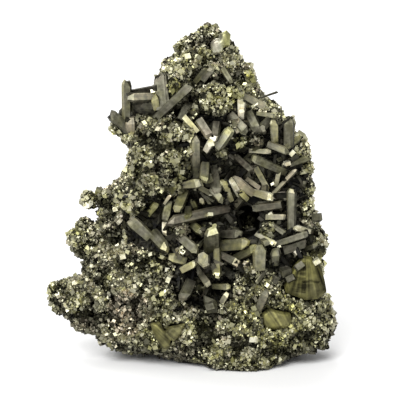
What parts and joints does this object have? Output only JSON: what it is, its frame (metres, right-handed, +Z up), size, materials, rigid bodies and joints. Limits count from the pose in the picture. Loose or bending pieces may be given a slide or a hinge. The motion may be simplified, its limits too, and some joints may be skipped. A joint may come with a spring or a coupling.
{
  "type": "pyrite specimen",
  "caption": "Upright pyrite specimen: a pyramidal mass crusted with small crystals, with a hollow lined with bladed crystals and a few smooth striated ones, on a flat broken base.",
  "frame": {"origin": "middle of the bottom of the bounding box, on the plane of the flat base", "axes": "+Z up from the flat base to the summit, -Y the front with the hollow, +X to the right of the front"},
  "size_m": [0.1128, 0.0534, 0.1356],
  "materials": {
    "druse": "satin",
    "bladed": "satin",
    "ledge": "satin",
    "brassy": "satin",
    "pale": "gloss"
  },
  "bodies": {
    "root": {"druse_matrix": "druse", "hollow_blade_crust": "bladed", "ledge_blades": "ledge", "right_fan_crystal": "brassy", "front_fan_crystal": "brassy", "foot_slab_crystal": "brassy", "summit_facet_crystal": "pale", "front_blade": "ledge"}
  },
  "joints": []
}
